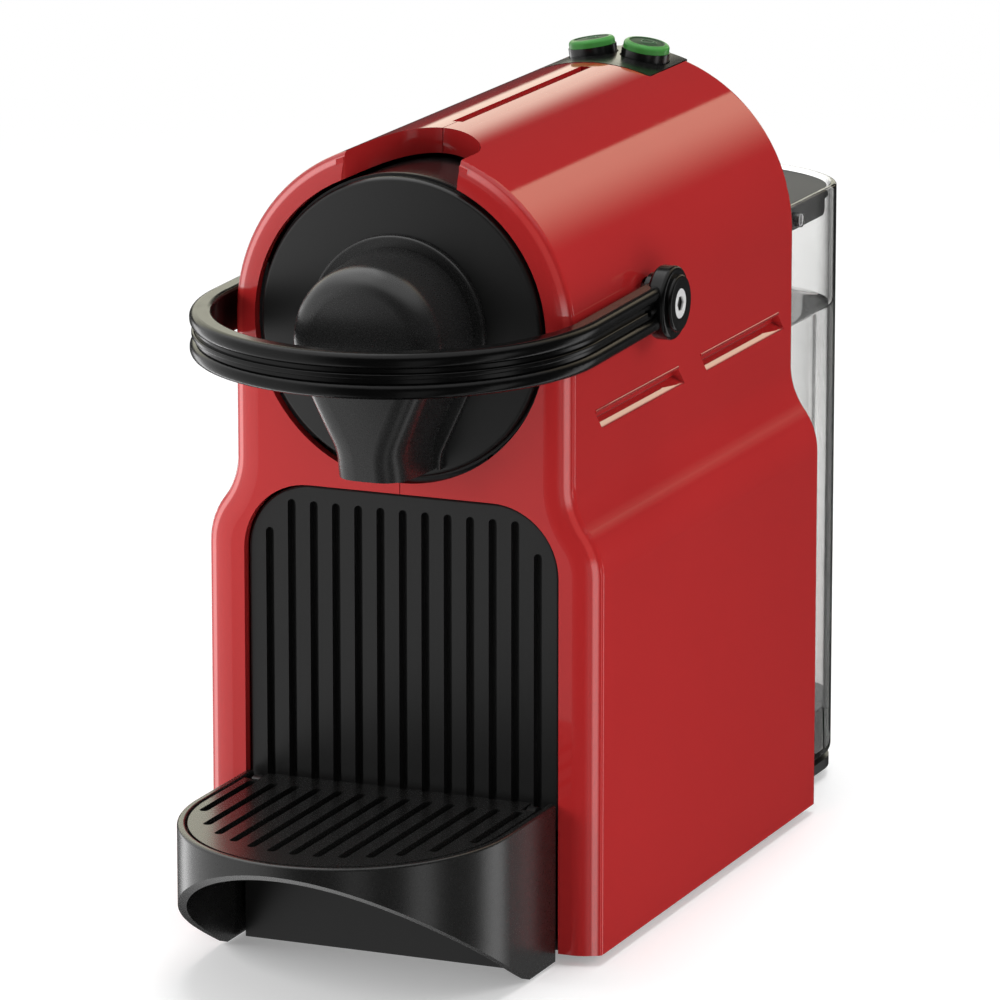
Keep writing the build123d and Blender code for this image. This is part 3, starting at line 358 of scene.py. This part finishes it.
def spark_eroded(dark, light, gloss, relief=PIT_RELIEF):
    """Satin moulding from an eroded tool: fine pits in colour, gloss and relief, under a slow cloud."""
    def look(wire):
        cloud = grain(wire, CLOUD_CELLS)
        pits = grain(wire, PIT_CELLS, 3.0)
        return {
            "Base Color": tint(wire, (cloud + pits) * 0.5, dark, light),
            "Roughness": uneven(pits, gloss, GRAIN_SPREAD),
            "Normal": bumped(wire, pits, relief),
        }
    return look


def brushed(dark, light, gloss, lines_per_metre):
    """Metal with brush lines drawn out along Y."""
    def look(wire):
        drawn = wire.add("Mapping", sockets={"Vector": place(wire), "Scale": BRUSH_DRAW})
        lines = wire.add("TexNoise", sockets={"Vector": drawn, "Scale": lines_per_metre, "Detail": 3.0})
        return {
            "Base Color": tint(wire, lines, dark, light),
            "Metallic": 1.0,
            "Roughness": uneven(lines, gloss, GRAIN_SPREAD),
            "Normal": bumped(wire, lines, BRUSH_RELIEF),
        }
    return look


def red_shell_finish(wire):
    """Polished red, with a coat on the lips and beads of the flank's grooves and along the front's edge,
    where a brighter red is painted as a highlight."""
    sockets = polished((0.385, 0.0175, 0.018), (0.41, 0.02, 0.0205), 0.05)(wire)
    edge = within(wire, *FRONT_EDGE)
    # Painted highlight: the front's edge is tinted a brighter red
    sockets["Base Color"] = tint(wire, edge, sockets["Base Color"], PAINTED_EDGE_HIGHLIGHT)
    sockets["Coat Weight"] = within(wire, *GROOVE_LIPS) + within(wire, *GROOVE_BEADS) + edge
    sockets["Coat IOR"] = COAT_IOR
    return sockets


def screw_finish(wire):
    """Bright turned face with the socket below it painted dark as shade."""
    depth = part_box("lever_screws")[1][0] - abs(place(wire).axis("X"))
    sockets = brushed(grey(0.82), grey(0.94), 0.45, 1500.0)(wire)
    # Painted shade: the socket below the face is nearly black
    sockets["Base Color"] = tint(wire, depth.rise(*SOCKET_DEPTH), sockets["Base Color"], grey(0.03))
    sockets["Metallic"] = SCREW_METAL
    return sockets


def clear_plastic(wire):
    """Clear plastic with faint flow marks, and painted shade in grey where it turns away and at the bend
    above the water.
    """
    flow = grain(wire, FLOW_CELLS)
    slant = wire.add("LayerWeight", out="Facing").rise(*SLANT_SHADE)
    point = place(wire)
    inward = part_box("water_tank")[1][0] - abs(point.axis("X"))
    bend = point.axis("Y").rise(*BEND_SHADE) * point.axis("Z").rise(*WATER_SHORE)
    bend = bend * (1 - inward.rise(*SIDE_SHADE))
    return {
        # Painted shade: grey where the plastic turns away and over the bend above the water
        "Base Color": tint(wire, wire.maths("MAXIMUM", slant, bend), WHITE, PAINTED_TANK_SHADE),
        "Roughness": flow * FLOW_SPREAD,
        "IOR": TANK_IOR,
        "Transmission Weight": 1.0,
        "Coat Weight": TANK_COAT,
        "Normal": bumped(wire, flow, FLOW_RELIEF),
    }


def still_water(wire):
    """Water with a barely uneven face."""
    swell = grain(wire, SWELL_CELLS)
    return {
        "Base Color": (*WHITE, 1.0),
        "Roughness": swell * SWELL_SPREAD,
        "IOR": WATER_IOR,
        "Transmission Weight": 1.0,
        "Normal": bumped(wire, swell, SWELL_RELIEF),
    }


def murk(density):
    """Grey that deepens with the length of plastic or water looked through."""
    def filling(wire):
        return wire.add("VolumeAbsorption", sockets={"Color": (*MURK_GREY, 1.0), "Density": density})
    return filling


def tank_lid_finish(wire):
    """Grey satin top face over sides and cheeks painted nearly black as shade."""
    pits = grain(wire, LID_CELLS, 3.0)
    face = tint(wire, pits, grey(0.06), grey(0.075))
    return {
        # Painted shade: the sides and cheeks below the face are nearly black
        "Base Color": tint(wire, place(wire).axis("Z").rise(*LID_FACE), grey(0.006), face),
        "Roughness": uneven(pits, LID_ROUGHNESS, LID_SPREAD),
        "Specular IOR Level": LID_SPECULAR,
        "Normal": bumped(wire, pits, LID_RELIEF),
    }


def button_cap_finish(lean):
    """Green rim round a darker, finely grained top."""
    def look(wire):
        turned = {"Vector": place(wire), "Location": HEAD_AXIS, "Rotation": (0.0, lean, 0.0)}
        local = wire.add("Mapping", {"vector_type": "TEXTURE"}, turned)
        across, along = local.axis("X"), local.axis("Y")
        edge = wire.maths("SQRT", across * across + along * along).rise(CAP_TOP_R, CAP_RIM_R)
        pits = grain(wire, CAP_CELLS)
        rim = tint(wire, grain(wire, RIM_CELLS), (0.05, 0.235, 0.045), (0.065, 0.285, 0.06))
        top = tint(wire, pits, (0.013, 0.036, 0.015), (0.019, 0.048, 0.021))
        gloss = CAP_TOP_ROUGHNESS - edge * (CAP_TOP_ROUGHNESS - CAP_RIM_ROUGHNESS)
        return {
            "Base Color": tint(wire, edge, top, rim),
            "Roughness": uneven(pits, gloss, CAP_SPREAD),
            "Specular IOR Level": CAP_SPECULAR,
            "Normal": bumped(wire, pits, CAP_RELIEF),
        }
    return look


# Looks: the record's slots first, then the finishes of single nodes and of the pieces made here. The numbers
# are the two ends of a colour, its roughness, and a relief, specular level or count of lines per metre
LOOKS = {
    "red_shell": red_shell_finish,
    "black_satin": spark_eroded(grey(0.006), (0.009, 0.009, 0.0088), 0.34),
    "black_gloss": polished(grey(0.005), grey(0.007), 0.2),
    "clear_tank": clear_plastic,
    "lid_grey": tank_lid_finish,
    "rubber": spark_eroded(grey(0.01), grey(0.02), 0.75),
    "steel": brushed(grey(0.5), grey(0.62), 0.28, 2500.0),
    "screw_chrome": screw_finish,
    "heater_aluminium": brushed((0.55, 0.55, 0.56), (0.7, 0.7, 0.71), 0.42, 900.0),
    "bush_brass": brushed((0.6, 0.42, 0.16), (0.72, 0.54, 0.24), 0.3, 2000.0),
    "pump_coil": spark_eroded((0.02, 0.02, 0.022), (0.03, 0.03, 0.032), 0.45),
    "board_green": spark_eroded((0.01, 0.07, 0.03), (0.015, 0.1, 0.045), 0.4),
    "frame_grey": spark_eroded((0.06, 0.06, 0.062), (0.08, 0.08, 0.082), 0.5),
    "tray_black": spark_eroded(grey(0.006), (0.009, 0.009, 0.0085), 0.26, 4e-6),
    "outlet_black": spark_eroded(grey(0.011), grey(0.014), 0.27, 2e-6),
    "lever_black": polished(grey(0.0015), grey(0.002), 0.2, 0.2),
    "espresso_green": button_cap_finish(-BUTTON_LEAN),
    "lungo_green": button_cap_finish(BUTTON_LEAN),
    "button_sign": spark_eroded((0.07, 0.15, 0.075), (0.09, 0.18, 0.095), 0.4),
    "tank_water": still_water,
}
FILLINGS = {"clear_tank": murk(TANK_MURK), "tank_water": murk(WATER_MURK)}
NODE_FINISHES = {
    "outlet_head": "outlet_black",
    "slot_shield": "black_gloss",
    "lever_loop": "lever_black",
    "lever_caps": "lever_black",
    "tray_hinge_pins": "tray_black",
    "cup_tray": "tray_black",
    "drip_grid": "tray_black",
    "espresso_button_cap": "espresso_green",
    "lungo_button_cap": "lungo_green",
}
FINISHES = {name: finish_of(name, look, FILLINGS.get(name)) for name, look in LOOKS.items()}

for part in frame["record"]["subparts"]:
    mesh = NODES[part["node"]].data
    mesh.materials.clear()
    mesh.materials.append(FINISHES[NODE_FINISHES.get(part["node"], part["material_slot"])])


# Pieces of the look

def piece(name, points, faces, finish, body):
    """Smooth object from arrays of points and faces, with doubles merged, that rides on a body."""
    mesh = bpy.data.meshes.new(name)
    mesh.from_pydata(points.tolist(), [], faces.tolist())
    shape = bmesh.new()
    shape.from_mesh(mesh)
    bmesh.ops.remove_doubles(shape, verts=shape.verts, dist=MERGE_DISTANCE)
    bmesh.ops.recalc_face_normals(shape, faces=shape.faces)
    shape.to_mesh(mesh)
    shape.free()
    mesh.polygons.foreach_set("use_smooth", np.ones(len(mesh.polygons), dtype=bool))
    mesh.set_sharp_from_angle(angle=SHARP_ANGLE)
    mesh.materials.append(FINISHES[finish])
    obj = bpy.data.objects.new(name, mesh)
    bpy.context.scene.collection.objects.link(obj)
    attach(obj, body)
    return obj


def grid_faces(rows, columns):
    """Quads of a grid whose points are numbered row by row."""
    first = (np.arange(rows - 1)[:, None] * columns + np.arange(columns - 1)).ravel()
    return np.stack([first, first + 1, first + columns + 1, first + columns], axis=1)


def tank_water():
    """Water that fills the tank to its level. In plan x is a share u of the half width and y a row v: the
    half width is constant up to the bend and falls with the cosine of an angle past it, while y grows with
    its sine. The top is level and drawn up at the walls by an exponential of the distance from them. The
    bottom is the tank's floor, or the inlet step's top inside the step."""
    low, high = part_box("water_tank")
    valve_low, valve_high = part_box("tank_valve")
    inset = TANK_WALL - WATER_SINK
    half = high[0] - inset
    front = low[1] + inset
    bulge = high[1] - inset - TANK_BEND_Y
    step_x = (valve_low[0] + valve_high[0]) / 2 - STEP_INSIDE
    step_y = (valve_low[1] + valve_high[1]) / 2 + STEP_INSIDE
    columns = np.concatenate([-half + MENISCUS_ROWS, LEFT_COLUMNS * half, [step_x, step_x],
                              RIGHT_COLUMNS * half, half - MENISCUS_ROWS[::-1]])
    middle = np.linspace(front + 2 * MENISCUS_ROWS[-1], TANK_BEND_Y, STRAIGHT_ROWS)[:-1]
    straight = np.concatenate([front + MENISCUS_ROWS, middle])
    bend = np.linspace(0.0, math.pi / 2, BEND_ROWS)
    rows = np.concatenate([straight, TANK_BEND_Y + bulge * np.sin(bend)])
    shrink = np.concatenate([np.ones(len(straight)), np.cos(bend)])
    x = columns[None, :] * shrink[:, None]
    y = np.repeat(rows[:, None], len(columns), axis=1)
    gap = np.minimum(half * shrink[:, None] - np.abs(x), y - front)
    top = WATER_LEVEL + MENISCUS_RISE * np.exp(-gap / MENISCUS_REACH)
    in_step = (np.arange(len(columns)) > np.argmax(columns >= step_x))[None, :] & (y < step_y)
    floor = np.where(in_step, valve_low[2] - WATER_SINK, low[2] + inset)
    points = np.concatenate([np.stack([x, y, level], axis=-1).reshape(-1, 3) for level in (top, floor)])
    upper = grid_faces(*x.shape)
    lower = upper[:, ::-1] + x.size
    index = np.arange(x.size).reshape(x.shape)
    shore = np.concatenate([index[0, :-1], index[:-1, -1], index[-1, :0:-1], index[:0:-1, 0]])
    onward = np.roll(shore, -1)
    wall = np.stack([shore + x.size, onward + x.size, onward, shore], axis=1)
    faces = np.concatenate([upper, lower, wall])
    piece("tank_water", points, faces, "tank_water", "water_tank")


def front_disc():
    """Gently crowned disc, which is a profile turned about the brew axis: a parabola from the centre out,
    a quarter round at the edge, then the straight side, a low flange behind the gap, which is a dark sheet
    standing in for the gap's shade, and the flat back."""
    low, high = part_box("front_disc")
    front, back = low[1], high[1]
    rim = high[0]
    flat = rim - DISC_EDGE
    # The flange is a dark sheet behind the gap that stands in for the gap's shade
    flange = rim + FLANGE_HEIGHT
    flange_front = back - FLANGE_THICKNESS
    out = np.linspace(0.0, 1.0, CROWN_STEPS)
    turn = np.linspace(0.0, math.pi / 2, EDGE_STEPS)
    radius = np.concatenate([flat * out, flat + DISC_EDGE * np.sin(turn), [rim, flange, flange, 0.0]])
    depth = np.concatenate([front - DISC_CROWN * (1 - out ** 2), front + DISC_EDGE * (1 - np.cos(turn)),
                            [flange_front, flange_front, back, back]])
    angle = np.linspace(0.0, 2 * math.pi, DISC_STEPS)
    x = radius[:, None] * np.sin(angle)
    y = np.broadcast_to(depth[:, None], x.shape)
    z = (low[2] + high[2]) / 2 + radius[:, None] * np.cos(angle)
    points = np.stack([x, y, z], axis=-1).reshape(-1, 3)
    disc = piece("crowned_disc", points, grid_faces(*x.shape), "black_satin", "housing")
    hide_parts("front_disc")


def bead(line):
    """Round bead along a flat closed line: each point of the line plus a circle in the plane of the line's
    side direction and the upright."""
    ahead = np.roll(line, -1, axis=0) - np.roll(line, 1, axis=0)
    ahead /= np.linalg.norm(ahead, axis=1, keepdims=True)
    side = np.stack([ahead[:, 1], -ahead[:, 0]], axis=1)
    angle = np.linspace(0, 2 * math.pi, BEAD_STEPS)
    flat = line[:, None, :] + SIGN_BEAD * np.cos(angle)[None, :, None] * side[:, None, :]
    height = np.broadcast_to(SIGN_BEAD * np.sin(angle), flat.shape[:2])
    rings = np.dstack([flat, height])
    rings = np.concatenate([rings, rings[:1]])
    return rings.reshape(-1, 3), grid_faces(*rings.shape[:2])


def cup_sign(button, lean, width, height):
    """Cup sign on a button's crown: a bead round a bowl, which is a superellipse with a flatter top, and
    one round its handle, which is an ellipse at its side. The crown falls off with the square of the
    radius."""
    turn = np.linspace(0, 2 * math.pi, SIGN_STEPS, endpoint=False)
    cosine, sine = np.cos(turn), np.sin(turn)
    across = np.sign(cosine) * np.abs(cosine) ** BOWL_SIDE_POWER
    upward = np.where(sine > 0, np.abs(sine) ** BOWL_TOP_POWER, -np.abs(sine) ** BOWL_FOOT_POWER)
    bowl = np.stack([width * across, height * upward], axis=1)
    handle = np.stack([width * (HANDLE_PLACE[0] + HANDLE_SIZE[0] * cosine),
                       height * (HANDLE_PLACE[1] + HANDLE_SIZE[1] * sine)], axis=1)
    bowl_points, bowl_faces = bead(bowl)
    handle_points, handle_faces = bead(handle)
    x, y, z = np.concatenate([bowl_points, handle_points]).T
    z = z + CAP_CROWN - CAP_FALL * (x ** 2 + y ** 2) / CAP_TOP_R ** 2
    leaned = np.stack([x * math.cos(lean) + z * math.sin(lean), y,
                       z * math.cos(lean) - x * math.sin(lean)], axis=1)
    faces = np.concatenate([bowl_faces, handle_faces + len(bowl_points)])
    piece(button + "_sign", leaned + HEAD_AXIS, faces, "button_sign", button + "_button")


front_disc()
tank_water()
cup_sign("espresso", -BUTTON_LEAN, *ESPRESSO_CUP)
cup_sign("lungo", BUTTON_LEAN, *LUNGO_CUP)


# Studio

def aimed(name, data, position, target):
    """Object at a position, turned so that its -Z axis looks at a target."""
    obj = bpy.data.objects.new(name, data)
    bpy.context.scene.collection.objects.link(obj)
    obj.location = position
    obj.rotation_euler = (Vector(target) - Vector(position)).to_track_quat("-Z", "Y").to_euler()
    return obj


def soft_box(name, position, side, power):
    """Square area lamp that looks at the machine and lights its matt side only."""
    lamp = bpy.data.lights.new(name, "AREA")
    lamp.size = side
    lamp.energy = power
    box = aimed(name, lamp, position, LAMP_AIM)
    for kind in ("camera", "glossy", "transmission"):
        setattr(box, "visible_" + kind, False)


def studio_camera():
    """Camera on a sphere round its aim point."""
    flat = math.cos(CAMERA_ELEVATION)
    back = (math.sin(CAMERA_AZIMUTH) * flat, -math.cos(CAMERA_AZIMUTH) * flat, math.sin(CAMERA_ELEVATION))
    position = [aim + step * CAMERA_DISTANCE for aim, step in zip(CAMERA_AIM, back)]
    data = bpy.data.cameras.new("photo_camera")
    data.sensor_width = CAMERA_SENSOR
    data.lens = CAMERA_LENS
    data.shift_x, data.shift_y = CAMERA_SHIFT
    data.clip_end = CAMERA_CLIP
    bpy.context.scene.camera = aimed("photo_camera", data, position, CAMERA_AIM)


def ray_kind(wire, *kinds):
    """1 for rays of any of these kinds, 0 for others."""
    return sum(wire.add("LightPath", out=f"Is {kind} Ray") for kind in kinds)


def studio_floor():
    """Pale floor that keeps the shadow near the machine, turns into the white background farther off and is
    clear from below."""
    material = bpy.data.materials.new("pale_floor")
    material.use_nodes = True
    material.node_tree.nodes.clear()
    wire = Wire(material.node_tree)
    seen = ray_kind(wire, "Camera", "Glossy", "Transmission")
    paint = wire.add("BsdfDiffuse", sockets={"Color": (*grey(FLOOR_PAINT), 1.0)})
    glow = wire.add("Emission", sockets={"Strength": seen * FLOOR_GLOW})
    pool = wire.add("AddShader", sockets={0: paint, 1: glow})
    paper = wire.add("Emission", sockets={"Strength": AMBIENT + seen * (1 - AMBIENT)})
    radius = wire.add("VectorMath", {"operation": "LENGTH"}, {0: place(wire)}, out="Value")
    top = wire.add("MixShader", sockets={0: radius.rise(*FLOOR_POOL), 1: pool, 2: paper})
    below = wire.add("NewGeometry", out="Backfacing")
    sheet = wire.add("MixShader", sockets={0: below, 1: top, 2: wire.add("BsdfTransparent")})
    wire.add("OutputMaterial", sockets={"Surface": sheet})
    corners = [(x * FLOOR_HALF, y * FLOOR_HALF, 0) for x, y in ((-1, -1), (1, -1), (1, 1), (-1, 1))]
    mesh = bpy.data.meshes.new("floor")
    mesh.from_pydata(corners, [], [(0, 1, 2, 3)])
    mesh.materials.append(material)
    floor = bpy.data.objects.new("floor", mesh)
    bpy.context.scene.collection.objects.link(floor)
    floor.visible_glossy = False


def cards_ahead(way):
    """Strength of the cards in front of the machine and above it, by the direction that gloss looks in."""
    x, y, z = way.axis("X"), way.axis("Y"), way.axis("Z")
    from_right = way.maths("ARCTAN2", y, x)
    from_left = way.maths("ARCTAN2", y, x * -1.0)
    left = from_left.span(*LEFT_CARD) * (1.0 + LEFT_GAIN * from_left.rise(*LEFT_GAIN_STEP))
    overhead = z.rise(*OVERHEAD) * OVERHEAD_STRENGTH
    middle, reach, strength = TUBE
    strips = from_left.near(middle, reach) * strength
    for middle, reach, strength in PILLARS:
        strips = strips + from_right.near(middle, reach) * strength
    return (1 - y.rise(*BEHIND)) * (left + overhead) + (1 - z.rise(*PILLAR_TOP)) * strips


def studio_world():
    """White for the camera, an even glow for matt surfaces, and soft cards round the machine for gloss."""
    world = bpy.data.worlds.new("studio")
    world.use_nodes = True
    world.node_tree.nodes.clear()
    world.cycles.sampling_method = "NONE"
    bpy.context.scene.world = world
    wire = Wire(world.node_tree)
    way = wire.add("TexCoord", out="Generated")
    roll = wire.maths("ARCTAN2", way.axis("Z"), way.axis("X"))
    through = ray_kind(wire, "Transmission")
    bounces = wire.add("LightPath", out="Glossy Depth") + wire.add("LightPath", out="Diffuse Depth")
    gloss = ray_kind(wire, "Glossy") * (1 - through)
    lights = [
        (WHITE, ray_kind(wire, "Camera") + through * (1 - bounces.rise(*BOUNCE_STEP) * BOUNCE_LOSS)),
        (WHITE, ray_kind(wire, "Diffuse") * AMBIENT),
        (WHITE, gloss * (GLOSS_FLOOR + cards_ahead(way))),
    ]
    for colour, fade_in, fade_out in REAR_CARDS:
        lights.append((colour, gloss * way.axis("Y").rise(*BEHIND) * roll.span(fade_in, fade_out)))
    glows = [wire.add("Background", sockets={"Color": (*colour, 1.0), "Strength": strength})
             for colour, strength in lights]
    glow = glows[0]
    for extra in glows[1:]:
        glow = wire.add("AddShader", sockets={0: glow, 1: extra})
    wire.add("OutputWorld", sockets={"Surface": glow})


studio_camera()
studio_floor()
studio_world()
for name, (position, side, power) in LAMPS.items():
    soft_box(name, position, side, power)
bpy.context.scene.view_settings.view_transform = "Standard"
